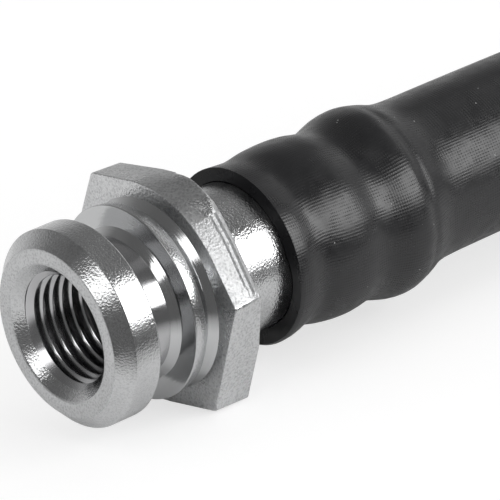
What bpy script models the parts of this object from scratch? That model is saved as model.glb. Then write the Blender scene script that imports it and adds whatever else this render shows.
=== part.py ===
# Brake hose assembly: two steel female end fittings joined by a pressure hose,
# which runs inside a rubber protective sleeve. Lengths below are in millimetres.
# Each fitting lies with its axis along X, its port facing -X, and rests on a flat of its hexagon.
import math

import bmesh
import bpy
import numpy as np
from mathutils import Matrix, Vector

MM = 0.001

# Frame: the origin is on the floor, under the middle of the near fitting
FITTING_LENGTH = 37.6
FACE_X = -FITTING_LENGTH / 2
GAP = 0.3

# Hexagon
HEX_ACROSS_FLATS = 19.0
HEX_FRONT = 9.94
HEX_BACK = 12.8
CORNER_FRONT_R = 9.55
CORNER_BACK_R = 10.6
AXIS_Z = HEX_ACROSS_FLATS / 2

# Collar, clip groove and second ring, as distances from the port's face and radii
FACE_R = 7.10
COLLAR_R = 8.35
COLLAR_CHAMFER = 1.23
COLLAR_END = 3.79
GROOVE_R = 5.78
GROOVE_END = 7.48
GROOVE_FILLET = 0.65
RING_FRONT_R = 8.25
RING_BACK_R = 8.08
RING_END = 8.71
NECK_R = 7.0
NECK_FILLET = 1.1

# Crimped shell behind the hexagon: bare up to the sleeve, whose bulges it follows from there
SHELL_R = 6.35
SHELL_BORE_R = 5.55
CRIMP_X = 30.3
CRIMP_BORE_R = 5.2
CRIMP_REACH = 2.2
BELL_X = 35.0
BELL_BORE_R = 5.85

# Port for an M10 x 1 tube nut: the bore is at the thread's minor radius
COUNTERSINK_R = 5.55
COUNTERSINK_END_R = 5.12
COUNTERSINK_DEPTH = 1.25
THREAD_START = 1.75
THREAD_MINOR_R = 4.46
PORT_DEPTH = 10.9
WEB_END = 13.7
WEB_HOLE_R = 2.3

# Nipple
NIPPLE_BORE_R = 0.95
SEAT_TIP_X = 8.6
SEAT_TIP_R = 1.5
SEAT_BASE_X = 10.0
SEAT_BASE_R = 2.9
FLANGE_R = 4.1
SHANK_R = 2.0
TAIL_R = 1.45
BARB_R = 1.69
BARB_XS = (17.0, 21.0, 25.0, 29.0)
BARB_LENGTH = 1.6
TAIL_END = 33.0
TAIL_TAPER = 0.6

# Hose and sleeve
HOSE_R = 5.25
HOSE_WALL = 3.0
HOSE_CRIMPED_R = 4.9
SLEEVE_R = 7.07
SLEEVE_WALL = 0.8
LIP_X = 19.15
POINT_SPACING = 12.5

# The sleeve's outer radius at distances behind the port's face: lip, first bulge, crimp, second bulge
SLEEVE_END_SHAPE = (
    (LIP_X, 7.82), (20.3, 7.70), (21.5, 7.25), (23.0, 7.35), (24.5, 7.73), (26.5, 7.92),
    (28.5, 7.74), (30.3, 7.44), (31.6, 7.60), (33.0, 8.00), (35.0, 8.34), (36.8, 7.95),
    (38.4, 7.38), (39.8, 7.14), (41.2, SLEEVE_R),
)

# Route of the hose's centreline from the near lip to the far lip, chosen by hand
ROUTE = (
    (0.35, 0.0, 9.5), (18.4, 0.0, 9.5), (36.4, 0.0, 9.5), (54.3, -0.1, 9.1), (72.3, -1.2, 8.3),
    (89.6, -6.0, 7.5), (104.8, -15.5, 7.2), (116.4, -29.2, 7.2), (123.4, -45.7, 7.2),
    (125.1, -63.5, 7.2), (121.4, -81.1, 7.2), (112.6, -96.7, 7.2), (99.5, -108.9, 7.2),
    (83.3, -116.7, 7.4), (67.5, -119.8, 8.0), (52.0, -120.4, 8.7), (36.5, -120.4, 9.3),
    (20.5, -120.4, 9.5), (4.5, -120.4, 9.5), (-11.65, -120.4, 9.5),
)
FAR_OFFSET = Vector((ROUTE[-1][0] - ROUTE[0][0], ROUTE[-1][1], 0.0))

# Fineness of the round surfaces, and how far a cutter reaches past what it cuts
FITTING_SIDES = 40
CORNER_SIDES = 10
NIPPLE_SIDES = 20
SLEEVE_BEVEL_RESOLUTION = 4
HOSE_BEVEL_RESOLUTION = 3
CUTTER_REACH = 1.0
EDGE_ANGLE = 30.0

# A faceted tube keeps its mean radius: its corners lie a little outside, its flats a little inside
SLEEVE_FACET_ANGLE = math.pi / (4 + 2 * SLEEVE_BEVEL_RESOLUTION)
SLEEVE_CORNER = SLEEVE_FACET_ANGLE / math.sin(SLEEVE_FACET_ANGLE)
SLEEVE_FLAT = SLEEVE_FACET_ANGLE / math.tan(SLEEVE_FACET_ANGLE)


def make_material(name, colour, roughness, metallic):
    """A Principled material with one colour, roughness and metallic value."""
    material = bpy.data.materials.new(name)
    material.use_nodes = True
    shader = material.node_tree.nodes["Principled BSDF"]
    shader.inputs["Base Color"].default_value = (*colour, 1.0)
    shader.inputs["Roughness"].default_value = roughness
    shader.inputs["Metallic"].default_value = metallic
    return material


def fillet(centre_x, centre_r, radius, start_deg, end_deg, steps=4):
    """Points along an arc in the profile plane, both ends included."""
    points = []
    for i in range(steps + 1):
        angle = math.radians(start_deg + (end_deg - start_deg) * i / steps)
        points.append((centre_x + radius * math.cos(angle), centre_r + radius * math.sin(angle)))
    return points


def add_object(name, data):
    """Link a new object that holds the mesh or curve, or an empty where data is None."""
    thing = bpy.data.objects.new(name, data)
    bpy.context.scene.collection.objects.link(thing)
    return thing


def turned(name, profile, sides, start_deg=0, angle_deg=360):
    """A solid turned about the X axis from a profile of (x, radius) points, whole or part way round."""
    work = bmesh.new()
    points = [work.verts.new((x * MM, r * MM, 0.0)) for x, r in profile]
    edges = [work.edges.new(pair) for pair in zip(points, points[1:])]
    if profile[0][1] > 0:
        edges.append(work.edges.new((points[-1], points[0])))
    bmesh.ops.rotate(work, verts=points, matrix=Matrix.Rotation(math.radians(start_deg), 3, "X"))
    bmesh.ops.spin(
        work, geom=points + edges, cent=(0, 0, 0), axis=(1, 0, 0),
        angle=math.radians(angle_deg), steps=sides, use_merge=angle_deg == 360,
    )
    bmesh.ops.remove_doubles(work, verts=work.verts, dist=1e-6)
    open_edges = [edge for edge in work.edges if edge.is_boundary]
    bmesh.ops.holes_fill(work, edges=open_edges, sides=len(profile))
    bmesh.ops.recalc_face_normals(work, faces=work.faces)
    mesh = bpy.data.meshes.new(name)
    work.to_mesh(mesh)
    work.free()
    return add_object(name, mesh)


def apply_boolean(target, cutter, operation):
    """Apply a Boolean to the target and delete the other solid."""
    modifier = target.modifiers.new(operation.title(), "BOOLEAN")
    modifier.operation = operation
    modifier.solver = "EXACT"
    modifier.object = cutter
    with bpy.context.temp_override(object=target, active_object=target, selected_objects=[target]):
        bpy.ops.object.modifier_apply(modifier=modifier.name)
    bpy.data.objects.remove(cutter)


def finished_mesh(thing, name, material):
    """Take the mesh off its object, smooth but for the real edges, and give it its material."""
    mesh = thing.data
    bpy.data.objects.remove(thing)
    mesh.name = name
    mesh.materials.clear()
    mesh.materials.append(material)
    mesh.shade_smooth()
    mesh.set_sharp_from_angle(angle=math.radians(EDGE_ANGLE))
    return mesh


def shell_outside():
    """The shell's profile: bare behind the hexagon, then one gap inside the sleeve's bulges."""
    distances, radii = zip(*SLEEVE_END_SHAPE)
    hugged = [x for x in distances[2:] if x < FITTING_LENGTH] + [FITTING_LENGTH]
    hugging = [np.interp(x, distances, radii) * SLEEVE_FLAT - SLEEVE_WALL - GAP for x in hugged]
    return [(LIP_X, SHELL_R), *zip(hugged, hugging)]


def fitting_outside():
    """The fitting's turned outside, without the hexagon."""
    inside_hex = (HEX_FRONT + HEX_BACK) / 2
    profile = [(0, 0), (0, FACE_R), (COLLAR_CHAMFER, COLLAR_R), (COLLAR_END, COLLAR_R)]
    profile += [(COLLAR_END, GROOVE_R)]
    profile += fillet(GROOVE_END - GROOVE_FILLET, GROOVE_R + GROOVE_FILLET, GROOVE_FILLET, -90, 0)
    profile += [(GROOVE_END, RING_FRONT_R), (RING_END, RING_BACK_R), (RING_END, NECK_R)]
    profile += fillet(HEX_FRONT - NECK_FILLET, NECK_R + NECK_FILLET, NECK_FILLET, -90, 0)
    profile += [(inside_hex, NECK_R + NECK_FILLET), (inside_hex, SHELL_R)]
    profile += shell_outside() + [(FITTING_LENGTH, 0)]
    return turned("fitting_outside", profile, FITTING_SIDES)


def hexagon():
    """The hexagon, with its one under-filled corner, which slopes down towards the port."""
    corner_r = HEX_ACROSS_FLATS / math.sqrt(3)
    thing = turned("hexagon", [(HEX_FRONT, 0), (HEX_FRONT, corner_r), (HEX_BACK, corner_r), (HEX_BACK, 0)], 6)
    slope = (CORNER_BACK_R - CORNER_FRONT_R) / (HEX_BACK - HEX_FRONT)
    front, back = HEX_FRONT - CUTTER_REACH, HEX_BACK + CUTTER_REACH
    section = [
        (front, CORNER_FRONT_R - slope * CUTTER_REACH), (back, CORNER_BACK_R + slope * CUTTER_REACH),
        (back, corner_r + CUTTER_REACH), (front, corner_r + CUTTER_REACH),
    ]
    corner = turned("corner", section, CORNER_SIDES, start_deg=90, angle_deg=60)
    apply_boolean(thing, corner, "DIFFERENCE")
    return thing


def fitting_hollow():
    """The port, the hole through the web and the shell's cavity, as one turned cutter."""
    flare = (COUNTERSINK_R - COUNTERSINK_END_R) / COUNTERSINK_DEPTH
    profile = [(-CUTTER_REACH, 0), (-CUTTER_REACH, COUNTERSINK_R + flare * CUTTER_REACH)]
    profile += [(COUNTERSINK_DEPTH, COUNTERSINK_END_R)]
    profile += [(THREAD_START, THREAD_MINOR_R), (PORT_DEPTH, THREAD_MINOR_R), (PORT_DEPTH, WEB_HOLE_R)]
    profile += [(WEB_END, WEB_HOLE_R), (WEB_END, SHELL_BORE_R), (CRIMP_X - CRIMP_REACH, SHELL_BORE_R)]
    profile += [(CRIMP_X, CRIMP_BORE_R), (CRIMP_X + CRIMP_REACH, SHELL_BORE_R), (BELL_X, BELL_BORE_R)]
    profile += [(FITTING_LENGTH + CUTTER_REACH, BELL_BORE_R), (FITTING_LENGTH + CUTTER_REACH, 0)]
    return turned("hollow", profile, FITTING_SIDES)


def make_fitting_mesh(material):
    """The end fitting: turned outside, hexagon added, port and shell bored out."""
    thing = fitting_outside()
    apply_boolean(thing, hexagon(), "UNION")
    apply_boolean(thing, fitting_hollow(), "DIFFERENCE")
    return finished_mesh(thing, "end_fitting", material)


def make_nipple_mesh(material):
    """The nipple: flare seat, flange, shank through the web and a barbed tail, bored through."""
    flange_back = PORT_DEPTH - GAP
    profile = [(SEAT_TIP_X, NIPPLE_BORE_R), (SEAT_TIP_X, SEAT_TIP_R), (SEAT_BASE_X, SEAT_BASE_R)]
    profile += [(SEAT_BASE_X, FLANGE_R), (flange_back, FLANGE_R), (flange_back, SHANK_R)]
    profile += [(WEB_END + GAP, SHANK_R), (WEB_END + GAP, TAIL_R)]
    for barb_x in BARB_XS:
        profile += [(barb_x, TAIL_R), (barb_x, BARB_R), (barb_x + BARB_LENGTH, TAIL_R)]
    tip_r = (TAIL_R + NIPPLE_BORE_R) / 2
    profile += [(TAIL_END - TAIL_TAPER, TAIL_R), (TAIL_END, tip_r), (TAIL_END, NIPPLE_BORE_R)]
    return finished_mesh(turned("nipple", profile, NIPPLE_SIDES), "nipple", material)


def smooth_route(points):
    """A natural cubic spline through the points: a function of distance, and its length."""
    knots = np.array(points, dtype=float)
    steps = np.linalg.norm(np.diff(knots, axis=0), axis=1)
    at = np.concatenate([[0.0], np.cumsum(steps)])
    count = len(knots)
    system = np.eye(count)
    right = np.zeros((count, 3))
    for i in range(1, count - 1):
        system[i, i - 1:i + 2] = steps[i - 1], 2 * (steps[i - 1] + steps[i]), steps[i]
        right[i] = 6 * ((knots[i + 1] - knots[i]) / steps[i] - (knots[i] - knots[i - 1]) / steps[i - 1])
    bend = np.linalg.solve(system, right)

    def place(distance):
        i = min(max(int(np.searchsorted(at, distance)) - 1, 0), count - 2)
        h, a, b = steps[i], at[i + 1] - distance, distance - at[i]
        line = (knots[i] / h - bend[i] * h / 6) * a + (knots[i + 1] / h - bend[i + 1] * h / 6) * b
        return line + (bend[i] * a ** 3 + bend[i + 1] * b ** 3) / (6 * h)

    return place, float(at[-1])


def tube(name, stations, wall, place, bevel_resolution, material):
    """A hollow tube: a bevelled poly curve through (distance, radius) stations, with a wall."""
    curve = bpy.data.curves.new(name, "CURVE")
    curve.dimensions = "3D"
    curve.bevel_depth = MM
    curve.bevel_resolution = bevel_resolution
    spline = curve.splines.new("POLY")
    spline.points.add(len(stations) - 1)
    for point, (distance, radius) in zip(spline.points, stations):
        point.co = (*(place(distance) * MM), 1.0)
        point.radius = radius
    thing = add_object(name, curve)
    curve.materials.append(material)
    solid = thing.modifiers.new("Wall", "SOLIDIFY")
    solid.thickness = wall * MM
    solid.offset = -1
    solid.use_even_offset = True
    return thing


def stations_between_ends(near, length, radius):
    """The near end's (distance, radius) stations, an even run of plain ones, and the far end's mirrored."""
    far = [(length - distance, r) for distance, r in reversed(near)]
    start, end = near[-1][0], far[0][0]
    count = round((end - start) / POINT_SPACING)
    plain = [(start + (end - start) * i / count, radius) for i in range(1, count)]
    return near + plain + far


def make_sleeve(name, place, length, material):
    """The protective sleeve from lip to lip, with its two bulges over each fitting's shell."""
    near = [(x - LIP_X, r * SLEEVE_CORNER) for x, r in SLEEVE_END_SHAPE]
    stations = stations_between_ends(near, length, SLEEVE_R * SLEEVE_CORNER)
    return tube(name, stations, SLEEVE_WALL, place, SLEEVE_BEVEL_RESOLUTION, material)


def make_hose(name, place, length, material):
    """The pressure hose from web to web, squeezed under each fitting's crimp."""
    ends = [(WEB_END + GAP, HOSE_R), (CRIMP_X - CRIMP_REACH, HOSE_R), (CRIMP_X, HOSE_CRIMPED_R)]
    ends += [(CRIMP_X + CRIMP_REACH, HOSE_R), (SLEEVE_END_SHAPE[-1][0], HOSE_R)]
    near = [(x - LIP_X, r) for x, r in ends]
    stations = stations_between_ends(near, length, HOSE_R)
    return tube(name, stations, HOSE_WALL, place, HOSE_BEVEL_RESOLUTION, material)


def make_end(name, offset, fitting_mesh, nipple_mesh):
    """One end's fitting and nipple, held by an empty at the middle of the port's face."""
    empty = add_object(name + "_end", None)
    empty.location = Vector((FACE_X, 0.0, AXIS_Z)) * MM + offset * MM
    add_object(name + "_fitting", fitting_mesh).parent = empty
    add_object(name + "_nipple", nipple_mesh).parent = empty


def clear_scene():
    """Remove every object that the opened file holds."""
    for thing in list(bpy.data.objects):
        bpy.data.objects.remove(thing, do_unlink=True)


def main():
    """Build the six sub-parts."""
    clear_scene()
    zinc = make_material("zinc_plated_steel", (0.62, 0.63, 0.64), 0.28, 1.0)
    turned_steel = make_material("turned_steel", (0.50, 0.50, 0.49), 0.35, 1.0)
    sleeve_rubber = make_material("sleeve_rubber", (0.028, 0.028, 0.028), 0.50, 0.0)
    hose_rubber = make_material("hose_rubber", (0.020, 0.020, 0.021), 0.60, 0.0)

    fitting_mesh = make_fitting_mesh(zinc)
    nipple_mesh = make_nipple_mesh(turned_steel)
    make_end("near", Vector((0.0, 0.0, 0.0)), fitting_mesh, nipple_mesh)
    make_end("far", FAR_OFFSET, fitting_mesh, nipple_mesh)

    place, length = smooth_route(ROUTE)
    make_sleeve("protective_sleeve", place, length, sleeve_rubber)
    make_hose("brake_hose", place, length, hose_rubber)


main()
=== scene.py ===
# A flexible brake hose lying in a wide U, seen close to the port of one of its two end fittings
import math

import bpy
import numpy as np
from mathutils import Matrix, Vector


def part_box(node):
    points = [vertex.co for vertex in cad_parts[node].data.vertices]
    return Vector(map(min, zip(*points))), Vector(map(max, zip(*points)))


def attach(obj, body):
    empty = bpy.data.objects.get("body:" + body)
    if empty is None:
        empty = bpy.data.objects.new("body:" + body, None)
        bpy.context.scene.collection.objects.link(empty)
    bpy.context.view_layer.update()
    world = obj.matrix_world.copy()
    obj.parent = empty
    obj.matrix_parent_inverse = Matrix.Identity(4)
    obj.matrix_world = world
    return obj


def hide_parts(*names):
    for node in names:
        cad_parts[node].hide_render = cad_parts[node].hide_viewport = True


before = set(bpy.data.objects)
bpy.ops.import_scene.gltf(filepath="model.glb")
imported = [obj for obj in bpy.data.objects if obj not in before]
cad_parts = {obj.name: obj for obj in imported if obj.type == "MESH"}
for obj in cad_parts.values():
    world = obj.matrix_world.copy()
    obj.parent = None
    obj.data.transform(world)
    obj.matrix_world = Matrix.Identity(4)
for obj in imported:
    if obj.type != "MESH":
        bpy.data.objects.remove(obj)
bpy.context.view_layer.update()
mm = 0.001  # lengths in the dictionaries are millimetres, positions are metres

nearLow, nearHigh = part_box("near_fitting")
farLow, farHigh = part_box("far_fitting")
axisHeight = (nearLow.z + nearHigh.z) / 2
nearFace = Vector((nearLow.x, 0, axisHeight))  # middle of the near port's face
farFace = Vector((farLow.x, (farLow.y + farHigh.y) / 2, axisHeight))
portFaces = (nearFace, farFace)


# small helpers for modelling with operators
def freshSelection():
    if bpy.context.object and bpy.context.object.mode != "OBJECT":
        bpy.ops.object.mode_set(mode="OBJECT")
    bpy.ops.object.select_all(action="DESELECT")


def pickOnly(piece):
    freshSelection()
    piece.select_set(True)
    bpy.context.view_layer.objects.active = piece


def inEditMode(piece):
    pickOnly(piece)
    bpy.ops.object.mode_set(mode="EDIT")
    bpy.ops.mesh.select_mode(type="VERT")
    bpy.ops.mesh.select_all(action="SELECT")


def pickEdges(piece, wanted):
    # edges for which wanted(one end, other end) is true, in millimetres
    inEditMode(piece)
    bpy.ops.mesh.select_all(action="DESELECT")
    bpy.ops.mesh.select_mode(type="EDGE")
    bpy.ops.object.mode_set(mode="OBJECT")
    for edge in piece.data.edges:
        a, b = (piece.data.vertices[v].co / mm for v in edge.vertices)
        edge.select = bool(wanted(a, b))
    bpy.ops.object.mode_set(mode="EDIT")


def pickFaces(piece, wanted):
    # faces for which wanted(middle, normal) is true, in millimetres
    inEditMode(piece)
    bpy.ops.mesh.select_all(action="DESELECT")
    bpy.ops.mesh.select_mode(type="FACE")
    bpy.ops.object.mode_set(mode="OBJECT")
    for face in piece.data.polygons:
        face.select = bool(wanted(face.center / mm, face.normal))
    bpy.ops.object.mode_set(mode="EDIT")


def drawOutline(name, points):
    # one vertex, drawn on from point to point in the XZ plane: (along, out) in millimetres
    freshSelection()
    bpy.ops.mesh.primitive_plane_add(size=mm)
    piece = bpy.context.object
    piece.name = piece.data.name = name
    inEditMode(piece)
    bpy.ops.mesh.merge(type="CENTER")
    at = Vector((points[0][0], 0, points[0][1])) * mm
    bpy.ops.transform.translate(value=at)
    for along, out in points[1:]:
        nextAt = Vector((along, 0, out)) * mm
        bpy.ops.mesh.extrude_region_move(TRANSFORM_OT_translate={"value": nextAt - at})
        at = nextAt
    return piece


def turnOutline(piece, sides):
    # spin the outline about the X axis into one closed solid
    inEditMode(piece)
    bpy.ops.mesh.remove_doubles(threshold=1e-7)
    bpy.ops.mesh.spin(steps=sides, angle=math.tau, center=(0, 0, 0), axis=(1, 0, 0))
    bpy.ops.mesh.select_all(action="SELECT")
    bpy.ops.mesh.remove_doubles(threshold=1e-6)
    bpy.ops.mesh.normals_make_consistent(inside=False)
    bpy.ops.object.mode_set(mode="OBJECT")
    return piece


def addCylinder(sides, radius, middle, length):
    # along the X axis, all in millimetres
    freshSelection()
    bpy.ops.mesh.primitive_cylinder_add(
        vertices=sides, radius=radius * mm, depth=length * mm,
        location=(middle * mm, 0, 0), rotation=(0, math.pi / 2, 0),
    )
    return bpy.context.object


def applyModifier(piece, kind, **settings):
    pickOnly(piece)
    bpy.ops.object.modifier_add(type=kind)
    modifier = piece.modifiers[-1]
    for name, value in settings.items():
        setattr(modifier, name, value)
    bpy.ops.object.modifier_apply(modifier=modifier.name)


def cutOrJoin(piece, other, operation):
    applyModifier(piece, "BOOLEAN", operation=operation, object=other, solver="EXACT")
    bpy.data.objects.remove(other)


def shiftMesh(piece, by):
    inEditMode(piece)
    bpy.ops.transform.translate(value=by)
    bpy.ops.object.mode_set(mode="OBJECT")


def smoothByAngle(piece, degrees):
    # sharp edges stay sharp, and a large face stays true beside a small rounding
    pickOnly(piece)
    bpy.ops.object.shade_smooth_by_angle(angle=math.radians(degrees))
    applyModifier(piece, "WEIGHTED_NORMAL", keep_sharp=True, weight=50)


def roundedCorners(points, arcStep=18):
    # (along, out, rounding) corners into (along, out) points, with an arc at each rounding
    drawn = []
    for i, (along, out, rounding) in enumerate(points):
        here = Vector((along, out))
        if rounding == 0 or i in (0, len(points) - 1):
            drawn.append(here)
            continue
        before = (Vector(points[i - 1][:2]) - here).normalized()
        after = (Vector(points[i + 1][:2]) - here).normalized()
        half = before.angle(after) / 2
        centre = here + (before + after).normalized() * (rounding / math.sin(half))
        start = here + before * (rounding / math.tan(half)) - centre
        end = here + after * (rounding / math.tan(half)) - centre
        steps = max(2, round(start.angle(end) / math.radians(arcStep)))
        for k in range(steps + 1):
            drawn.append(centre + start.slerp(end, k / steps).normalized() * rounding)
    return [(p.x, p.y) for p in drawn]


def splineThrough(at, values):
    # a natural cubic spline through values at the given distances, as a function of distance
    at = np.asarray(at, dtype=float)
    values = np.asarray(values, dtype=float).reshape(len(at), -1)
    gaps = np.diff(at)
    count = len(at)
    system = np.eye(count)
    right = np.zeros_like(values)
    for i in range(1, count - 1):
        before, after = gaps[i - 1], gaps[i]
        system[i, i - 1:i + 2] = before, 2 * (before + after), after
        slopeChange = (values[i + 1] - values[i]) / after - (values[i] - values[i - 1]) / before
        right[i] = 6 * slopeChange
    bend = np.linalg.solve(system, right)

    def valueAt(distance):
        i = min(max(int(np.searchsorted(at, distance)) - 1, 0), count - 2)
        h, a, b = gaps[i], at[i + 1] - distance, distance - at[i]
        line = (values[i] / h - bend[i] * h / 6) * a
        line += (values[i + 1] / h - bend[i + 1] * h / 6) * b
        return line + (bend[i] * a ** 3 + bend[i + 1] * b ** 3) / (6 * h)

    return valueAt


def turnOf(point):
    # angle of a point round the X axis, from -Y towards +Z, in degrees
    return math.degrees(math.atan2(point.z, -point.y)) % 360


def outOf(point):
    # distance of a point from the X axis
    return math.hypot(point.y, point.z)


# camera: where the photograph was taken from, turned by degrees about X, Y and Z
cameraView = {
    "lens": 288, "sensor": 36, "clip": (0.01, 20),
    "turn": (70.69, 8.551, -41.235), "place": (-0.18966, -0.24276, 0.11646),
}

cameraData = bpy.data.cameras.new("photoCamera")
cameraData.lens = cameraView["lens"]
cameraData.sensor_width = cameraView["sensor"]
cameraData.clip_start, cameraData.clip_end = cameraView["clip"]
camera = bpy.data.objects.new("photoCamera", cameraData)
camera.location = cameraView["place"]
camera.rotation_euler = [math.radians(a) for a in cameraView["turn"]]
bpy.context.scene.collection.objects.link(camera)
bpy.context.scene.camera = camera
print("camera placed")

# sleeve: the route from lip to lip, and the outer radius at distances behind the port's face
sleeve = {
    "route": (
        (0.35, 0.0, 9.5), (18.4, 0.0, 9.5), (36.4, 0.0, 9.5), (54.3, -0.1, 9.1),
        (72.3, -1.2, 8.3), (89.6, -6.0, 7.5), (104.8, -15.5, 7.2), (116.4, -29.2, 7.2),
        (123.4, -45.7, 7.2), (125.1, -63.5, 7.2), (121.4, -81.1, 7.2), (112.6, -96.7, 7.2),
        (99.5, -108.9, 7.2), (83.3, -116.7, 7.4), (67.5, -119.8, 8.0), (52.0, -120.4, 8.7),
        (36.5, -120.4, 9.3), (20.5, -120.4, 9.5), (4.5, -120.4, 9.5), (-11.65, -120.4, 9.5),
    ),
    "endShape": (
        (19.15, 7.72), (20.3, 7.64), (21.5, 7.46), (23.0, 7.46), (24.5, 7.67), (26.5, 7.84),
        (28.5, 7.77), (30.3, 7.52), (31.6, 7.74), (33.0, 8.14), (34.8, 8.26), (36.8, 7.88),
        (38.4, 7.34), (39.8, 7.12), (41.2, 7.07),
    ),
    # the bulges aren't round: how far they sag, and how far one side is drawn towards the port
    "sag": (
        (19.15, 0.17), (20.3, 0.17), (21.5, 0.05), (23, -0.08), (24.5, -0.03), (26.5, 0.08),
        (28.5, 0.15), (30.3, 0.20), (35, 0.16), (38, 0.05), (42, 0), (50, 0),
    ),
    "sagTurn": -66,
    "drawn": (
        (19.15, 0), (21, 0), (25, 1.2), (30, 1.5), (34, 1.7), (38, 2.3), (42, 1.5), (46, 0.4),
        (50, 0),
    ),
    "drawnTurn": 24,
    "drawnAll": 0.6,            # share of it that the other sides have
    "dip": (36.0, 0.7, 0.20),   # place, half width and depth of a dip on the drawn side
    "endWidth": 12,             # what lies within this of a port's axis belongs to that end
    "plainRadius": 7.07,
    "wall": 0.8,
    "lipStart": 19.15,
    "lipEnd": 21.2,         # up to here the inside closes in on the shell
    "gripRadius": 6.42,     # where the lip's cut face meets the shell
    "cutFacing": -0.85,     # a cut face looks along the hose at least this much
    "cutReach": 35,         # and is this near to the port
    "endStep": 0.25,        # distance between rings over the bulges
    "bendStep": 1.6,        # and along the rest
    "sides": 68,
    "smoothAngle": 50,
    "weaveAround": 176,     # cloth ridges round the sleeve
    "weaveStep": 0.23,      # distance between the cross ridges along it
    "cordPoints": 160,
}

routePoints = np.array(sleeve["route"])
routeSteps = np.linalg.norm(np.diff(routePoints, axis=0), axis=1)
routeAt = np.concatenate([[0], np.cumsum(routeSteps)])
placeOnRoute = splineThrough(routeAt, routePoints)
sleeveLength = float(routeAt[-1])
endAt, endRadius = zip(*sleeve["endShape"])
radiusNearEnd = splineThrough(endAt, endRadius)


def sleeveRadius(distance):
    # distance from the near lip; both ends have the same shape
    behindFace = min(distance, sleeveLength - distance) + sleeve["lipStart"]
    if behindFace < endAt[-1]:
        return float(radiusNearEnd(behindFace)[0])
    return sleeve["plainRadius"]


def sleeveRings():
    # distances of the rings: close together over the bulges, wider apart between them
    bulges = endAt[-1] - endAt[0]
    near = list(np.arange(0, bulges, sleeve["endStep"]))
    count = round((sleeveLength - 2 * bulges) / sleeve["bendStep"])
    middle = list(np.linspace(bulges, sleeveLength - bulges, count))
    return near + middle + [sleeveLength - d for d in reversed(near)]


def drawSleeve(rings):
    # a tube through the rings: a curve with a round section, made a mesh
    curve = bpy.data.curves.new("protectiveSleeve", "CURVE")
    curve.dimensions = "3D"
    curve.bevel_depth = mm
    curve.bevel_resolution = (sleeve["sides"] - 4) // 2
    spline = curve.splines.new("POLY")
    spline.points.add(len(rings) - 1)
    for point, distance in zip(spline.points, rings):
        point.co = (*(placeOnRoute(distance) * mm), 1)
        point.radius = sleeveRadius(distance)
    piece = bpy.data.objects.new("protectiveSleeve", curve)
    bpy.context.scene.collection.objects.link(piece)
    pickOnly(piece)
    bpy.ops.object.convert(target="MESH")
    piece = bpy.context.object
    piece.name = piece.data.name = "protectiveSleeve"
    return piece


def mapCloth(mesh, rings):
    # cloth map: u is millimetres along the sleeve, v goes once round it
    sides = sleeve["sides"]
    while mesh.uv_layers:
        mesh.uv_layers.remove(mesh.uv_layers[0])
    corner = np.empty(len(mesh.loops), dtype=int)
    mesh.loops.foreach_get("vertex_index", corner)
    along = np.array(rings)[corner // sides]
    around = (corner % sides) / sides
    for face in mesh.polygons:
        turns = around[face.loop_start:face.loop_start + face.loop_total]
        turns[(turns == 0) & (turns.max() > 0.5)] = 1  # the face that closes the ring
    clothMap = mesh.uv_layers.new(name="clothMap")
    places = np.stack([along, around], axis=1).astype(np.float32)
    clothMap.data.foreach_set("uv", places.ravel())


def shapeBulges(mesh):
    sagAt = splineThrough(*zip(*sleeve["sag"]))
    drawnAt = splineThrough(*zip(*sleeve["drawn"]))
    sagTurn, drawnTurn = math.radians(sleeve["sagTurn"]), math.radians(sleeve["drawnTurn"])
    dipAt, dipWidth, dipDepth = sleeve["dip"]
    lastAt = sleeve["sag"][-1][0]
    for face in portFaces:
        for vertex in mesh.vertices:
            behind, sideways, up = (vertex.co - face) / mm
            if abs(sideways) > sleeve["endWidth"] or not sleeve["lipStart"] < behind < lastAt:
                continue
            facing = max(0, math.cos(math.atan2(up, -sideways) - drawnTurn))
            dip = dipDepth * facing * math.exp(-((behind - dipAt) / dipWidth) ** 2)
            inward = 1 - dip / math.hypot(up, sideways)
            sag = float(sagAt(behind)[0])
            share = sleeve["drawnAll"] + (1 - sleeve["drawnAll"]) * facing
            vertex.co = face + mm * Vector((
                behind - share * float(drawnAt(behind)[0]),
                sideways * inward - sag * math.cos(sagTurn),
                up * inward + sag * math.sin(sagTurn),
            ))


def closeLips(mesh):
    # the inner edges of both lips close in on the shells
    grip = sleeve["gripRadius"] * mm
    for face in portFaces:
        for vertex in mesh.vertices:
            behind, sideways, up = (vertex.co - face) / mm
            if abs(sideways) > sleeve["endWidth"] or behind > sleeve["lipEnd"]:
                continue
            middleOfWall = sleeveRadius(max(behind - endAt[0], 0)) - sleeve["wall"] / 2
            if math.hypot(sideways, up) < middleOfWall:
                outward = Vector((0, sideways, up)).normalized()
                vertex.co = Vector((vertex.co.x, face.y, face.z)) + outward * grip


def makeSleeve():
    rings = sleeveRings()
    piece = drawSleeve(rings)
    mapCloth(piece.data, rings)
    shapeBulges(piece.data)
    applyModifier(
        piece, "SOLIDIFY", thickness=sleeve["wall"] * mm, offset=-1, use_even_offset=True,
    )
    closeLips(piece.data)
    smoothByAngle(piece, sleeve["smoothAngle"])
    return piece


protectiveSleeve = makeSleeve()
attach(protectiveSleeve, "root")
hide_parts("protective_sleeve")
print("sleeve made,", len(protectiveSleeve.data.polygons), "faces")

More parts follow.
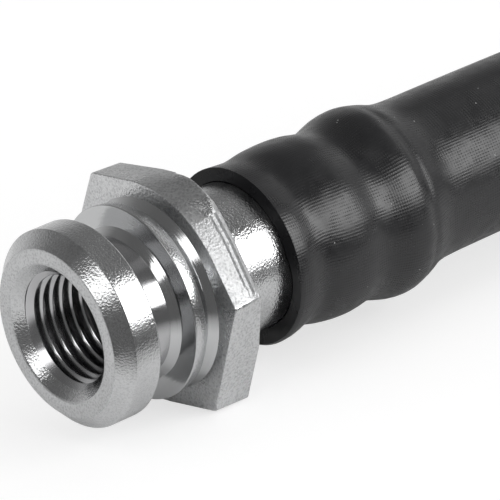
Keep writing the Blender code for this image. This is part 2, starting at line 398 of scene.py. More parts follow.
# end fitting: turned body, hexagon, port and crimped shell, all from the face of the port
fitting = {
    "sides": 144,
    "smoothAngle": 32,
    "length": 37.6,
    "faceRadius": 7.10,
    "faceEdge": 0.12,            # roundings are called edges outside and corners inside
    "collarRadius": 8.35,
    "collarChamfer": 1.23,
    "chamferEdge": 0.15,
    "collarEnd": 3.79,
    "collarEdge": 0.22,
    "grooveFrontRadius": 5.20,   # the groove's floor rises towards the ring
    "grooveFrontCorner": 0.2,
    "grooveBackRadius": 5.85,
    "grooveBackCorner": 0.1,
    "grooveEnd": 7.48,
    "grooveSlope": 0.60,         # length and height of the cone up to the ring
    "toolStep": 0.03,            # the small step where each cone ends
    "ringFrontRadius": 8.25,
    "ringBackRadius": 8.08,
    "ringEnd": 8.71,
    "ringEdge": 0.09,
    "neckRadius": 7.0,
    "neckFrontCorner": 0.1,
    "neckBackCorner": 0.02,
    "neckSlope": 1.1,
    "hexFront": 9.94,
    "hexBack": 12.8,
    "shellRadius": 6.35,
    "shellBareEnd": 21.0,
    "shellWidens": 22.0,         # from here on it keeps just inside the sleeve
    "shellStep": 0.8,
    "shellGap": 0.1,
    "shellWidest": 7.2,
}

port = {
    "mouthRadius": 5.83,
    "mouthRounding": 0.45,
    "coneEndRadius": 5.02,
    "coneDepth": 0.85,
    "coneEdge": 0.02,
    "threadStart": 1.40,
    "threadEdge": 0.05,
    "minorRadius": 4.46,
    "depth": 10.9,
    "bottomCorner": 0.3,
    "webEnd": 13.7,
    "webHoleRadius": 2.3,
    "shellBore": 5.55,
    "crimpAt": 30.3,
    "crimpBore": 5.2,
    "crimpReach": 2.2,
    "bellAt": 35.0,
    "bellBore": 5.85,
}

thread = {
    "pitch": 1.0,
    "majorRadius": 5.0,
    "minorRadius": 4.46,
    "turns": 10,
    "steps": 96,
    "start": -0.9,
    "rootHalf": 0.07,       # half widths of the groove, from its root to its mouth
    "flankHalf": 0.345,
    "flankAbove": 0.06,
    "mouthHalf": 0.41,      # the mouth flares a little, so that the crests come out rounded
    "mouthBelow": 0.01,
    "cutterGap": 0.03,      # keeps the cutter's turns apart
    "cutterBelow": 0.08,    # how far it reaches into the open bore
}

hexagon = {
    # forged, so no two corners are alike: angle, front radius, back radius, back distance
    "outline": (
        (1.8, 10.50, 10.25, 12.80), (30, 9.50, 9.50, 12.75), (60, 10.97, 10.97, 12.85),
        (90, 9.50, 9.52, 13.05), (120, 10.90, 10.80, 12.85), (150, 9.50, 9.50, 13.00),
        (180, 10.85, 10.75, 12.85), (210, 9.50, 9.50, 13.00), (240, 10.85, 10.75, 12.90),
        (270, 9.50, 9.50, 13.05), (302, 10.88, 10.97, 13.35), (332, 9.27, 9.35, 13.40),
    ),
    "halfFlats": 9.5,
    "steps": 6,                     # vertices from one entry of the outline to the next
    "cornerRounding": 0.22,
    "cornerOutside": 10,            # a corner lies further out than this,
    "cornerWithin": 1.5,            # within this of its angle,
    "cornerLength": 0.03,           # and runs along the axis by more than this
    "underfilled": 60,              # angle of a corner that the forging didn't fill
    "underfilledReach": (30, 90),
    "underfilledRadius": (9.44, 10.05),  # at the front and at the back
    "frontEdge": 0.10,
    "frontEdgeOutside": 9,
    "frontEdgeWithin": 0.01,        # of the front
    "rolledEdge": 0.16,             # back edge of the flat at 30 degrees
    "rolledEdgeOutside": 9.4,
    "rolledEdgeWithin": 0.2,        # of the back
    "rolledReach": (4, 80),
    "backInset": 1.1,
    "backFacing": 0.9,
    "holeRadius": 6.0,
    "holeSides": 90,
    "burrRings": (
        (11.68, 0), (11.82, 0.12), (11.98, 0), (12.12, 0), (12.27, 0.18), (12.35, 0.18), (12.50, 0),
    ),
    "burrReach": (6, 52),           # the burrs' first and last angle, beside that edge
    "scuffedReach": (3, 46),        # the flat that has the burrs is scuffed between these
}


def shellOutline():
    # the shell after its bare metal: just inside the sleeve under its bulges, no wider than its
    # widest
    f = fitting
    clearance = sleeve["wall"] + f["shellGap"]
    hugged = [*np.arange(f["shellWidens"], f["length"], f["shellStep"]), f["length"]]
    radii = [min(float(radiusNearEnd(x)[0]) - clearance, f["shellWidest"]) for x in hugged]
    return [(x, r, 0) for x, r in zip(hugged, radii)]


def makeTurnedBody():
    # one closed section: along the outside from the port to the shell's end, and back inside
    f, p = fitting, port
    step = f["toolStep"]
    middleOfFace = (p["mouthRadius"] + f["faceRadius"]) / 2
    middleOfHex = (f["hexFront"] + f["hexBack"]) / 2
    grooveSlopeEnd = f["grooveBackRadius"] + f["grooveSlope"]
    neckSlopeEnd = f["neckRadius"] + f["neckSlope"]
    collar = [
        (0, middleOfFace, 0),
        (0, f["faceRadius"], f["faceEdge"]),
        (f["collarChamfer"], f["collarRadius"], f["chamferEdge"]),
        (f["collarEnd"], f["collarRadius"], f["collarEdge"]),
    ]
    groove = [
        (f["collarEnd"], f["grooveFrontRadius"], f["grooveFrontCorner"]),
        (f["grooveEnd"] - f["grooveSlope"], f["grooveBackRadius"], f["grooveBackCorner"]),
        (f["grooveEnd"] - step, grooveSlopeEnd, 0),
        (f["grooveEnd"], grooveSlopeEnd + step, 0),
    ]
    ring = [
        (f["grooveEnd"], f["ringFrontRadius"], f["ringEdge"]),
        (f["ringEnd"], f["ringBackRadius"], f["ringEdge"]),
    ]
    neck = [
        (f["ringEnd"], f["neckRadius"], f["neckFrontCorner"]),
        (f["hexFront"] - f["neckSlope"], f["neckRadius"], f["neckBackCorner"]),
        (f["hexFront"] - step, neckSlopeEnd, 0),
        (f["hexFront"], neckSlopeEnd + step, 0),
        (f["hexFront"], neckSlopeEnd + 2 * step, 0),
        (middleOfHex, neckSlopeEnd + 2 * step, 0),
    ]
    shell = [
        (middleOfHex, f["shellRadius"], 0),
        (f["shellBareEnd"], f["shellRadius"], 0),
        *shellOutline(),
    ]
    inside = [
        (f["length"], p["bellBore"], 0),
        (p["bellAt"], p["bellBore"], 0),
        (p["crimpAt"] + p["crimpReach"], p["shellBore"], 0),
        (p["crimpAt"], p["crimpBore"], 0),
        (p["crimpAt"] - p["crimpReach"], p["shellBore"], 0),
        (p["webEnd"], p["shellBore"], 0),
        (p["webEnd"], p["webHoleRadius"], 0),
        (p["depth"], p["webHoleRadius"], 0),
        (p["depth"], p["minorRadius"], p["bottomCorner"]),
        (p["threadStart"], p["minorRadius"], p["threadEdge"]),
        (p["coneDepth"], p["coneEndRadius"], p["coneEdge"]),
        (0, p["mouthRadius"], p["mouthRounding"]),
        (0, middleOfFace, 0),
    ]
    corners = roundedCorners(collar + groove + ring + neck + shell + inside)
    return turnOutline(drawOutline("turnedBody", corners), f["sides"])


def hexagonPoint(part, side):
    # vertex at a part (0 to 12) of the way round, on the front (0) or the back (1)
    outline = hexagon["outline"]
    i = math.floor(part + 1e-6)
    ends = []
    for entry in (outline[i % len(outline)], outline[(i + 1) % len(outline)]):
        turn, radius = math.radians(entry[0]), entry[1 + side]
        ends.append(Vector((entry[3], -math.cos(turn) * radius, math.sin(turn) * radius)))
    point = ends[0].lerp(ends[1], part - i)
    radius = outOf(point)
    limit = hexagon["underfilledRadius"][side]
    firstTurn, lastTurn = hexagon["underfilledReach"]
    if firstTurn < turnOf(point) < lastTurn and radius > limit:
        point.y, point.z = point.y * limit / radius, point.z * limit / radius
    if side == 0:
        point.x = fitting["hexFront"]
    return point * mm


def raiseBurrs(piece):
    # rings cut round the back of the hexagon, and lifted over a part of the turn
    firstTurn, lastTurn = hexagon["burrReach"]
    for along, lift in hexagon["burrRings"]:
        inEditMode(piece)
        bpy.ops.mesh.bisect(plane_co=(along * mm, 0, 0), plane_no=(1, 0, 0))
        bpy.ops.mesh.select_all(action="SELECT")
        bpy.ops.object.mode_set(mode="OBJECT")
        for vertex in piece.data.vertices:
            onRing = abs(vertex.co.x / mm - along) < 0.001
            if lift and onRing and firstTurn < turnOf(vertex.co) < lastTurn:
                stretch = 1 + lift * mm / outOf(vertex.co)
                vertex.co *= Vector((1, stretch, stretch))


def roundHexagon(piece):
    h, f = hexagon, fitting
    corners = [entry[0] for entry in h["outline"][::2] if entry[0] != h["underfilled"]]

    def isOutside(a, b, radius):
        return min(outOf(a), outOf(b)) > radius

    def isCorner(a, b):
        lengthwise = abs(a.x - b.x) > h["cornerLength"] and isOutside(a, b, h["cornerOutside"])
        offCorner = [min(abs(turnOf(end) - turn) for turn in corners) for end in (a, b)]
        return lengthwise and max(offCorner) < h["cornerWithin"]

    def isRolledEdge(a, b):
        atBack = min(a.x, b.x) > f["hexBack"] - h["rolledEdgeWithin"]
        onRim = isOutside(a, b, h["rolledEdgeOutside"])
        firstTurn, lastTurn = h["rolledReach"]
        return atBack and onRim and all(firstTurn < turnOf(end) < lastTurn for end in (a, b))

    def isFrontEdge(a, b):
        atFront = max(a.x, b.x) < f["hexFront"] + h["frontEdgeWithin"]
        return atFront and isOutside(a, b, h["frontEdgeOutside"])

    for isWanted, rounding, segments in (
        (isCorner, h["cornerRounding"], 3),
        (isRolledEdge, h["rolledEdge"], 2),
        (isFrontEdge, h["frontEdge"], 2),
    ):
        pickEdges(piece, isWanted)
        bpy.ops.mesh.bevel(
            offset=rounding * mm, segments=segments, affect="EDGES", clamp_overlap=True,
        )
    bpy.ops.object.mode_set(mode="OBJECT")


def makeHexagon():
    h, f = hexagon, fitting
    middle, depth = (f["hexFront"] + f["hexBack"]) / 2, f["hexBack"] - f["hexFront"]
    count = len(h["outline"]) * h["steps"]
    piece = addCylinder(count, h["halfFlats"], middle, depth)
    bpy.ops.object.transform_apply(location=True, rotation=True, scale=True)
    for vertex in piece.data.vertices:
        k = round(turnOf(vertex.co) * count / 360) % count
        vertex.co = hexagonPoint(k / h["steps"], int(vertex.co.x > middle * mm))

    # flatten the middle of the uneven back
    pickFaces(piece, lambda centre, normal: normal.x > h["backFacing"])
    bpy.ops.mesh.inset(thickness=h["backInset"] * mm)
    bpy.ops.transform.resize(value=(0, 1, 1))

    raiseBurrs(piece)
    roundHexagon(piece)

    # open in the middle, inside the turned body's own wall
    cutOrJoin(piece, addCylinder(h["holeSides"], h["holeRadius"], middle, 3 * depth), "DIFFERENCE")
    return piece


def makeThreadCutter():
    # the groove between two crests, wound along the port
    t = thread
    rightSide = [
        (t["rootHalf"], t["majorRadius"]),
        (t["flankHalf"], t["minorRadius"] + t["flankAbove"]),
        (t["mouthHalf"], t["minorRadius"] - t["mouthBelow"]),
        (t["pitch"] / 2 - t["cutterGap"], t["minorRadius"] - t["cutterBelow"]),
    ]
    leftSide = [(-x, r) for x, r in reversed(rightSide)]
    groove = leftSide[-1:] + rightSide + leftSide
    piece = drawOutline("threadCutter", [(x + t["start"], r) for x, r in groove])
    inEditMode(piece)
    bpy.ops.mesh.remove_doubles(threshold=1e-7)
    bpy.ops.object.mode_set(mode="OBJECT")
    applyModifier(
        piece, "SCREW", axis="X", angle=math.tau, screw_offset=t["pitch"] * mm,
        iterations=t["turns"], steps=t["steps"], render_steps=t["steps"],
        use_merge_vertices=False,
    )
    inEditMode(piece)
    bpy.ops.mesh.fill_holes(sides=0)
    bpy.ops.mesh.select_all(action="SELECT")
    bpy.ops.mesh.normals_make_consistent(inside=False)
    bpy.ops.object.mode_set(mode="OBJECT")
    return piece


def makeFitting():
    piece = makeTurnedBody()
    cutOrJoin(piece, makeHexagon(), "UNION")
    cutOrJoin(piece, makeThreadCutter(), "DIFFERENCE")
    smoothByAngle(piece, fitting["smoothAngle"])
    return piece


nearFitting = makeFitting()
nearFitting.name = nearFitting.data.name = "nearFitting"
print("fitting made,", len(nearFitting.data.polygons), "faces")

# nipple: flare seat at the bottom of the port, flange, shank and barbed tail
nipple = {
    "sides": 72, "smoothAngle": 32, "edge": 0.1, "boreRadius": 0.95,
    "seatTip": 8.6, "seatTipRadius": 1.5, "seatBase": 10.0, "seatBaseRadius": 2.9,
    "flangeRadius": 4.1, "flangeBack": 10.6, "shankRadius": 2.0, "shankEnd": 14.0,
    "tailRadius": 1.45, "tailEnd": 33.0, "tipTaper": 0.6, "tipEdge": 0.05,
    "barbs": (17.0, 21.0, 25.0, 29.0), "barbRadius": 1.69, "barbLength": 1.6, "barbEdge": 0.04,
}


def makeNipple():
    n = nipple
    corners = [
        (n["seatTip"], n["boreRadius"], 0),
        (n["seatTip"], n["seatTipRadius"], n["edge"]),
        (n["seatBase"], n["seatBaseRadius"], n["edge"]),
        (n["seatBase"], n["flangeRadius"], n["edge"]),
        (n["flangeBack"], n["flangeRadius"], n["edge"]),
        (n["flangeBack"], n["shankRadius"], n["edge"]),
        (n["shankEnd"], n["shankRadius"], n["edge"]),
        (n["shankEnd"], n["tailRadius"], 0),
    ]
    for barb in n["barbs"]:
        corners += [
            (barb, n["tailRadius"], 0),
            (barb, n["barbRadius"], n["barbEdge"]),
            (barb + n["barbLength"], n["tailRadius"], 0),
        ]
    corners += [
        (n["tailEnd"] - n["tipTaper"], n["tailRadius"], 0),
        (n["tailEnd"], (n["tailRadius"] + n["boreRadius"]) / 2, n["tipEdge"]),
        (n["tailEnd"], n["boreRadius"], 0),
        (n["seatTip"], n["boreRadius"], 0),
    ]
    piece = turnOutline(drawOutline("nearNipple", roundedCorners(corners)), n["sides"])
    smoothByAngle(piece, n["smoothAngle"])
    return piece


nearNipple = makeNipple()
print("nipple made,", len(nearNipple.data.polygons), "faces")


# both ends: the far pieces are copies with their own meshes, each moved to its port
def copyPiece(piece, name):
    pickOnly(piece)
    bpy.ops.object.duplicate()
    copied = bpy.context.object
    copied.name = copied.data.name = name
    return copied


farFitting = copyPiece(nearFitting, "farFitting")
farNipple = copyPiece(nearNipple, "farNipple")
for piece, face, node, slotName in (
    (nearFitting, nearFace, "near_fitting", "plated_steel"),
    (farFitting, farFace, "far_fitting", "plated_steel"),
    (nearNipple, nearFace, "near_nipple", "nipple_steel"),
    (farNipple, farFace, "far_nipple", "nipple_steel"),
):
    shiftMesh(piece, face)
    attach(piece, "root")
    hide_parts(node)
print("both ends placed")

# points along the sleeve's route, evenly spaced
cordAt = np.linspace(0, sleeveLength, sleeve["cordPoints"])
routeForCord = [tuple(placeOnRoute(d) * mm) for d in cordAt]


# materials: node helpers
def newMaterial(name):
    material = bpy.data.materials.new(name)
    material.use_nodes = True
    tree = material.node_tree
    return material, tree, tree.nodes["Principled BSDF"]


def addNode(tree, kind, inputs=None, **settings):
    # each input is a value, or the socket that feeds it
    node = tree.nodes.new("ShaderNode" + kind)
    for name, value in settings.items():
        setattr(node, name, value)
    for key, value in (inputs or {}).items():
        if isinstance(value, bpy.types.NodeSocket):
            tree.links.new(value, node.inputs[key])
        else:
            node.inputs[key].default_value = value
    return node


def calculate(tree, operation, a, b=0.0, c=0.0):
    return addNode(tree, "Math", {0: a, 1: b, 2: c}, operation=operation).outputs[0]


def remap(tree, value, fromRange, toRange=(0.0, 1.0)):
    return addNode(tree, "MapRange", {
        "Value": value, "From Min": fromRange[0], "From Max": fromRange[1],
        "To Min": toRange[0], "To Max": toRange[1],
    }).outputs["Result"]


def noise(tree, position, scale, detail):
    inputs = {"Vector": position, "Scale": scale, "Detail": detail}
    return addNode(tree, "TexNoise", inputs).outputs["Fac"]


def mixColours(tree, share, first, second):
    inputs = {"Fac": share, "Color1": first, "Color2": second}
    return addNode(tree, "MixRGB", inputs).outputs["Color"]


def mixShaders(tree, share, first, second):
    return addNode(tree, "MixShader", {0: share, 1: first, 2: second}).outputs[0]


def separate(tree, vector):
    return addNode(tree, "SeparateXYZ", {0: vector}).outputs


def grey(level):
    return level, level, level, 1


def setBump(tree, shader, height):
    bump = addNode(tree, "Bump", {"Height": height, "Distance": mm, "Strength": 1.0})
    tree.links.new(bump.outputs["Normal"], shader.inputs["Normal"])


def newGroup(name, inputs, outputs):
    tree = bpy.data.node_groups.new(name, "ShaderNodeTree")
    for socketName, kind, value in inputs:
        socket = tree.interface.new_socket(
            socketName, in_out="INPUT", socket_type="NodeSocket" + kind,
        )
        if value is not None:
            socket.default_value = value
    for socketName, kind in outputs:
        tree.interface.new_socket(socketName, in_out="OUTPUT", socket_type="NodeSocket" + kind)
    given = tree.nodes.new("NodeGroupInput").outputs
    return tree, given, tree.nodes.new("NodeGroupOutput").inputs


def useGroup(tree, group, inputs):
    return addNode(tree, "Group", inputs, node_tree=group).outputs


# lathePlace: distance behind the nearer port's face and radius from its axis, in millimetres
halfSpread = (nearFace.y - farFace.y) / 2
placeGroup, given, result = newGroup(
    "lathePlace", [("Position", "Vector", None)], [("Along", "Float"), ("Radius", "Float")],
)
split = separate(placeGroup, given["Position"])
atFar = calculate(placeGroup, "LESS_THAN", split["Y"], -halfSpread)
sideways = calculate(placeGroup, "WRAP", split["Y"], halfSpread, -halfSpread)
upwards = calculate(placeGroup, "SUBTRACT", split["Z"], axisHeight)
squares = [calculate(placeGroup, "POWER", side, 2) for side in (sideways, upwards)]
radius = calculate(placeGroup, "SQRT", calculate(placeGroup, "ADD", *squares))
behind = calculate(placeGroup, "SUBTRACT", split["X"], nearFace.x)
behind = calculate(placeGroup, "MULTIPLY_ADD", atFar, nearFace.x - farFace.x, behind)
placeGroup.links.new(calculate(placeGroup, "MULTIPLY", behind, 1 / mm), result["Along"])
placeGroup.links.new(calculate(placeGroup, "MULTIPLY", radius, 1 / mm), result["Radius"])

# turningMarks: fine rings left by the lathe, uneven in strength
marksGroup, given, result = newGroup(
    "turningMarks", [("Position", "Vector", None), ("Spacing", "Float", 0.12)],
    [("Height", "Float")],
)
place = useGroup(marksGroup, placeGroup, {"Position": given["Position"]})
ringAt = calculate(marksGroup, "ADD", place["Along"], place["Radius"])
ringAt = calculate(marksGroup, "DIVIDE", ringAt, given["Spacing"])
uneven = addNode(
    marksGroup, "TexNoise", {"W": ringAt, "Scale": 1.0, "Detail": 1.0}, noise_dimensions="1D",
)
marksGroup.links.new(uneven.outputs["Fac"], result["Height"])

# platingGrain: the crystals of a plated surface that wasn't polished, duller in broad patches
plating = {
    "patchesPerMm": 0.35,
    "patchRange": (0.35, 0.65),         # the patches' noise, from the shiny to the dull ones
    "dullTint": 0.93,                   # how much darker the dull ones are
    "crystalShare": 0.5,
    "speckRange": (0.85, 0.45),         # height of the grain where specks begin and are full
    "speckColour": (0.25, 0.25, 0.26),
}
grainGroup, given, result = newGroup(
    "platingGrain", [("Position", "Vector", None), ("Size", "Float", 0.12)],
    [("Height", "Float"), ("Patches", "Float")],
)
perMetre = calculate(grainGroup, "DIVIDE", 1 / mm, given["Size"])
fine = noise(grainGroup, given["Position"], perMetre, 1.0)
broad = noise(grainGroup, given["Position"], plating["patchesPerMm"] / mm, 2.0)
crystals = addNode(grainGroup, "TexVoronoi", {"Vector": given["Position"], "Scale": perMetre})
crystalsAndFine = calculate(
    grainGroup, "MULTIPLY_ADD", crystals.outputs["Distance"], plating["crystalShare"], fine,
)
grainGroup.links.new(crystalsAndFine, result["Height"])
grainGroup.links.new(broad, result["Patches"])

steelLooks = {
    # base colour, roughness low and high, dark specks, grain size and height, and where the
    # lathe shows, its marks' spacing and height
    "turnedZinc": {
        "base": (0.67, 0.675, 0.68), "rough": (0.10, 0.15), "specks": 0.0, "grain": (0.25, 0.0),
        "marks": (0.30, 0.0060),
    },
    "platedZinc": {
        "base": (0.71, 0.715, 0.72), "rough": (0.14, 0.24), "specks": 0.30, "grain": (0.17, 0.0170),
    },
    "shellZinc": {
        "base": (0.73, 0.735, 0.74), "rough": (0.16, 0.28), "specks": 0.40, "grain": (0.18, 0.0230),
    },
    "forgedZinc": {
        "base": (0.76, 0.765, 0.77), "rough": (0.24, 0.36), "specks": 0.45, "grain": (0.21, 0.0300),
    },
    "portZinc": {
        "base": (0.69, 0.695, 0.70), "rough": (0.30, 0.40), "specks": 0.45, "grain": (0.19, 0.0340),
    },
    "scuffedZinc": {
        "base": (0.73, 0.735, 0.74), "rough": (0.50, 0.62), "specks": 0.40, "grain": (0.21, 0.0600),
    },
    "threadZinc": {
        "base": (0.60, 0.60, 0.61), "rough": (0.12, 0.20), "specks": 0.0, "grain": (0.20, 0.0),
    },
    "nippleSteel": {
        "base": (0.50, 0.50, 0.49), "rough": (0.20, 0.32), "specks": 0.0, "grain": (0.20, 0.0010),
        "marks": (0.12, 0.0012),
    },
}


def makeSteel(name):
    look = steelLooks[name]
    material, tree, shader = newMaterial(name)
    position = tree.nodes.new("ShaderNodeTexCoord").outputs["Object"]
    grainSize, grainHeight = look["grain"]
    grain = useGroup(tree, grainGroup, {"Position": position, "Size": grainSize})
    height = calculate(tree, "MULTIPLY", grain["Height"], grainHeight)
    if "marks" in look:
        spacing, marksHeight = look["marks"]
        marks = useGroup(tree, marksGroup, {"Position": position, "Spacing": spacing})
        height = calculate(tree, "MULTIPLY_ADD", marks["Height"], marksHeight, height)
    setBump(tree, shader, height)
    rough = remap(tree, grain["Patches"], plating["patchRange"], look["rough"])
    tree.links.new(rough, shader.inputs["Roughness"])
    dull = [c * plating["dullTint"] for c in look["base"]]
    tint = mixColours(tree, grain["Patches"], (*look["base"], 1), (*dull, 1))
    specks = remap(tree, grain["Height"], plating["speckRange"], (0.0, look["specks"]))
    speckled = mixColours(tree, specks, tint, (*plating["speckColour"], 1))
    tree.links.new(speckled, shader.inputs["Base Color"])
    shader.inputs["Metallic"].default_value = 1.0
    return material


steels = {name: makeSteel(name) for name in steelLooks}

# how far a finish reaches past the edge that it belongs to, or stops short of it
finishMargins = {
    "hexFront": 0.02, "hexSides": 0.03, "hexBack": (0.3, 0.7), "portWall": 0.02, "cone": 0.1,
    "portFace": 0.06, "portFaceInner": 0.1, "ringEdge": 0.05, "collarHeight": 1.3,
    "ringHeight": 0.1,
    "looksAlong": 0.9,  # part of the normal that makes a face look along the axis
}


def finishOf(along, radius, turn, facing):
    # which finish a face of the fitting has, from its middle and how far it faces along the axis
    f, m = fitting, finishMargins
    hexBackStart, hexBackEnd = f["hexBack"] - m["hexBack"][0], f["hexBack"] + m["hexBack"][1]
    hexSidesStart = f["hexFront"] + m["hexSides"]
    atHexEnd = abs(along - f["hexFront"]) < m["hexFront"] or hexBackStart < along < hexBackEnd
    if atHexEnd and abs(facing) > m["looksAlong"]:
        return "forgedZinc"  # one face round the axis, so its middle says nothing
    onPortFace = facing < -m["looksAlong"] and along < m["portFaceInner"]
    inPort = radius < port["mouthRadius"] + m["portWall"] and along < port["webEnd"]
    if inPort and not onPortFace:
        return "threadZinc" if along > port["coneDepth"] + m["cone"] else "platedZinc"
    if along < m["portFace"]:
        return "portZinc"
    onCollar = along < f["collarEnd"] - m["ringEdge"]
    if onCollar and radius > f["grooveBackRadius"] + m["collarHeight"]:
        return "platedZinc"
    onRing = f["grooveEnd"] + m["ringEdge"] < along < f["ringEnd"] - m["ringEdge"]
    if onRing and radius > f["ringBackRadius"] - m["ringHeight"]:
        return "platedZinc"
    if hexSidesStart < along < hexBackEnd and radius > f["neckRadius"]:
        firstTurn, lastTurn = hexagon["scuffedReach"]
        return "scuffedZinc" if firstTurn < turn < lastTurn else "forgedZinc"
    return "turnedZinc" if along < hexSidesStart else "shellZinc"


def paintFitting(piece, face):
    names = [n for n in steelLooks if n != "nippleSteel"]
    for name in names:
        piece.data.materials.append(steels[name])
    for polygon in piece.data.polygons:
        middle = (Vector(polygon.center) - face) / mm
        finish = finishOf(middle.x, outOf(middle), turnOf(middle), polygon.normal.x)
        polygon.material_index = names.index(finish)


paintFitting(nearFitting, nearFace)
paintFitting(farFitting, farFace)
for piece in (nearNipple, farNipple):
    piece.data.materials.append(steels["nippleSteel"])

# rubber: near black, with the print of the cloth that it was cured in
rubberLook = {
    "base": (0.009, 0.009, 0.010),
    "ior": 1.58,
    "cutIor": 1.25,
    "rough": (0.24, 0.33),
    "mottlePerMm": 0.4,           # where it is rougher and smoother
    "mottleRange": (0.3, 0.7),
    "dust": (0.30, 0.30, 0.30),
    "dustSize": 0.052,
    "dustSpacing": 1.15,
    "dustMissing": 0.55,          # share of the places for dust that have none
    "finePerMm": 6,               # skin of the rubber
    "fineHeight": 0.002,
    "lumpSize": 2.2,
    "lumpHeight": 0.045,
    "weaveBump": 0.0034,
    "crossShare": 0.6,            # of the cross ridges, beside those that run along
    "wanderPerMm": 0.25,          # how the threads wander, in radians round and along
    "wanderAround": 3.0,
    "wanderAlong": 5.0,
    "wornPerMm": 1.1,             # where the print is worn, from its noise to its strength
    "wornRange": (0.3, 0.7),
    "wornStrength": (0.2, 1.3),
    "pitDepth": (-0.3, -1.1),     # low places of the print, which are rougher
    "pitRoughness": 0.30,
}


def makeRubber(name, onCloth, ior):
    look = rubberLook
    material, tree, shader = newMaterial(name)
    shader.inputs["IOR"].default_value = ior
    coordinates = tree.nodes.new("ShaderNodeTexCoord").outputs
    position = coordinates["Object"]

    mottle = noise(tree, position, look["mottlePerMm"] / mm, 4.0)
    roughness = remap(tree, mottle, look["mottleRange"], look["rough"])
    grains = addNode(tree, "TexVoronoi", {
        "Vector": position, "Scale": 1 / mm / look["dustSpacing"],
    }).outputs
    chosen = calculate(
        tree, "GREATER_THAN", separate(tree, grains["Color"])[0], look["dustMissing"],
    )
    dust = calculate(tree, "LESS_THAN", grains["Distance"], look["dustSize"])
    dust = calculate(tree, "MULTIPLY", dust, chosen)
    colour = mixColours(tree, dust, (*look["base"], 1), (*look["dust"], 1))
    tree.links.new(colour, shader.inputs["Base Color"])

    fine = noise(tree, position, look["finePerMm"] / mm, 2.0)
    lumps = noise(tree, position, 1 / mm / look["lumpSize"], 1.0)
    height = calculate(tree, "MULTIPLY", fine, look["fineHeight"])
    height = calculate(tree, "MULTIPLY_ADD", lumps, look["lumpHeight"], height)
    if onCloth:
        cloth = separate(tree, coordinates["UV"])
        wander = noise(tree, position, look["wanderPerMm"] / mm, 2.0)
        around = calculate(tree, "MULTIPLY", cloth["Y"], math.tau * sleeve["weaveAround"])
        around = calculate(tree, "MULTIPLY_ADD", wander, look["wanderAround"], around)
        along = calculate(tree, "MULTIPLY", cloth["X"], math.tau / sleeve["weaveStep"])
        along = calculate(tree, "MULTIPLY_ADD", wander, look["wanderAlong"], along)
        ridges, cross = calculate(tree, "SINE", around), calculate(tree, "SINE", along)
        weave = calculate(tree, "MULTIPLY_ADD", cross, look["crossShare"], ridges)
        worn = noise(tree, position, look["wornPerMm"] / mm, 1.0)
        worn = remap(tree, worn, look["wornRange"], look["wornStrength"])
        weave = calculate(tree, "MULTIPLY", weave, worn)
        height = calculate(tree, "MULTIPLY_ADD", weave, look["weaveBump"], height)
        pits = remap(tree, weave, look["pitDepth"], (0.0, look["pitRoughness"]))
        roughness = calculate(tree, "ADD", roughness, pits)
    tree.links.new(roughness, shader.inputs["Roughness"])
    setBump(tree, shader, height)
    return material


sleeveRubber = makeRubber("sleeveRubber", True, rubberLook["ior"])
hoseRubber = makeRubber("hoseRubber", False, rubberLook["ior"])
cutRubber = makeRubber("cutRubber", False, rubberLook["cutIor"])


def isCutFace(polygon):
    # the cut faces look along the hose, away from its middle
    if polygon.normal.x > sleeve["cutFacing"]:
        return False
    return any((polygon.center - face).length < sleeve["cutReach"] * mm for face in portFaces)


protectiveSleeve.data.materials.clear()
protectiveSleeve.data.materials.append(sleeveRubber)
protectiveSleeve.data.materials.append(cutRubber)
for polygon in protectiveSleeve.data.polygons:
    polygon.material_index = int(isCutFace(polygon))
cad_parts["brake_hose"].material_slots[0].material = hoseRubber
print("materials made")

# studio: pale floor, soft lamps and a world that is white behind the object
studio = {
    "floorSize": 8.0,
    "floorLevel": 0.86,
    "floorShadow": 0.40,        # how much of the floor's own light the camera sees
    "floorGlow": 0.66,          # what lifts the floor to white for the camera
    # metal mirrors a strip of floor in front of each fitting, which fades to dark at its edge
    "stripSlope": 0.3,
    "stripEdge": (-0.017, -0.029),
    "worldLevel": 0.62,         # what the world gives to matt surfaces
    "darkLevel": 0.13,          # the dark side of the studio, as metal mirrors it
    "backdropTowards": (0.62, 0.785, 0),
    "backdropEdge": (-0.05, 0.3),
    "fadeHeight": (0.15, 0.6),  # the backdrop fades upwards between these heights
    "fadeLevel": (0.62, 0.18),
    "lampDistance": 0.9,
}


def lightPath(tree, ray):
    return tree.nodes.new("ShaderNodeLightPath").outputs[ray]


def emission(tree, level):
    return addNode(tree, "Emission", {"Color": grey(1), "Strength": level}).outputs[0]


def background(tree, colour, level):
    return addNode(tree, "Background", {"Color": colour, "Strength": level}).outputs[0]


def makeFloor():
    freshSelection()
    bpy.ops.mesh.primitive_plane_add(size=studio["floorSize"], location=(0, 0, 0))
    floor = bpy.context.object
    floor.name = floor.data.name = "studioFloor"
    material, tree, shader = newMaterial("paleFloor")
    output = tree.nodes["Material Output"]
    tree.nodes.remove(shader)
    diffuse, shadowed = (
        addNode(tree, "BsdfDiffuse", {"Color": grey(studio[level])}).outputs[0]
        for level in ("floorLevel", "floorShadow")
    )
    glow = emission(tree, studio["floorGlow"])
    lit = addNode(tree, "AddShader", {0: shadowed, 1: glow}).outputs[0]
    seen = mixShaders(tree, lightPath(tree, "Is Camera Ray"), diffuse, lit)
    place = separate(tree, tree.nodes.new("ShaderNodeTexCoord").outputs["Object"])
    outwards = calculate(tree, "MULTIPLY_ADD", place["X"], studio["stripSlope"], place["Y"])
    beyond = remap(tree, outwards, studio["stripEdge"])
    mirrored = calculate(tree, "MULTIPLY", beyond, lightPath(tree, "Is Glossy Ray"))
    final = mixShaders(tree, mirrored, seen, emission(tree, studio["darkLevel"]))
    tree.links.new(final, output.inputs["Surface"])
    floor.data.materials.append(material)


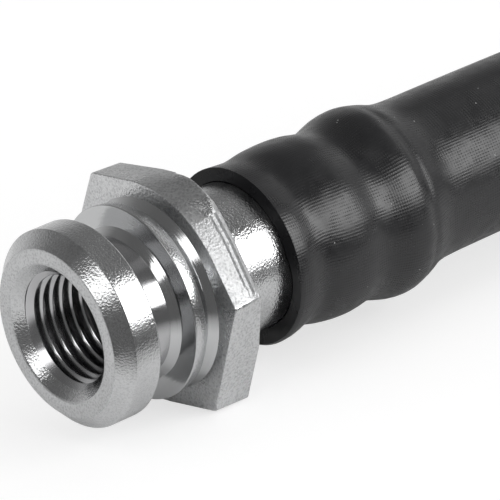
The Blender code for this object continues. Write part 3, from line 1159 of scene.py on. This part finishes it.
def makeWorld():
    world = bpy.data.worlds.new("studioWorld")
    bpy.context.scene.world = world
    world.use_nodes = True
    tree = world.node_tree
    tree.nodes.clear()
    # the backdrop is white low down behind the object, and dark on the camera's side
    direction = tree.nodes.new("ShaderNodeTexCoord").outputs["Generated"]
    towardsBack = addNode(
        tree, "VectorMath", {0: direction, 1: studio["backdropTowards"]}, operation="DOT_PRODUCT",
    ).outputs["Value"]
    backdrop = remap(tree, towardsBack, studio["backdropEdge"])
    height = separate(tree, direction)["Z"]
    fade = remap(tree, height, studio["fadeHeight"], studio["fadeLevel"])
    mirrored = mixColours(tree, backdrop, grey(studio["darkLevel"]), fade)
    soft = background(tree, grey(1), studio["worldLevel"])
    shiny = mixShaders(
        tree, lightPath(tree, "Is Glossy Ray"), soft, background(tree, mirrored, 1.0),
    )
    white = background(tree, grey(1), 1.0)
    final = mixShaders(tree, lightPath(tree, "Is Camera Ray"), shiny, white)
    output = tree.nodes.new("ShaderNodeOutputWorld")
    tree.links.new(final, output.inputs["Surface"])


softboxes = {
    # azimuth and elevation seen from the near fitting, width and height in metres, level
    "sideSoftbox": {"azimuth": -62, "elevation": 19, "size": (0.82, 0.56), "level": 4.0},
    "leftSoftbox": {"azimuth": -163, "elevation": 31, "size": (0.56, 0.26), "level": 2.0},
    "topSoftbox": {"azimuth": -95, "elevation": 70, "size": (0.40, 0.30), "level": 0.5},
    "backSoftbox": {"azimuth": 2, "elevation": 36, "size": (0.56, 0.30), "level": 0.6},
}


def makeSoftbox(name, box):
    azimuth, elevation = math.radians(box["azimuth"]), math.radians(box["elevation"])
    level = math.cos(elevation)
    towards = Vector((math.cos(azimuth) * level, math.sin(azimuth) * level, math.sin(elevation)))
    data = bpy.data.lights.new(name, "AREA")
    data.shape = "RECTANGLE"
    data.size, data.size_y = box["size"]
    data.energy = box["level"] * math.pi * data.size * data.size_y
    lamp = bpy.data.objects.new(name, data)
    lamp.location = nearFace + towards * studio["lampDistance"]
    lamp.rotation_euler = towards.to_track_quat("Z", "Y").to_euler()
    lamp.visible_camera = False
    bpy.context.scene.collection.objects.link(lamp)


makeFloor()
makeWorld()
for name, box in softboxes.items():
    makeSoftbox(name, box)
bpy.context.scene.view_settings.view_transform = "Standard"
print("studio made")
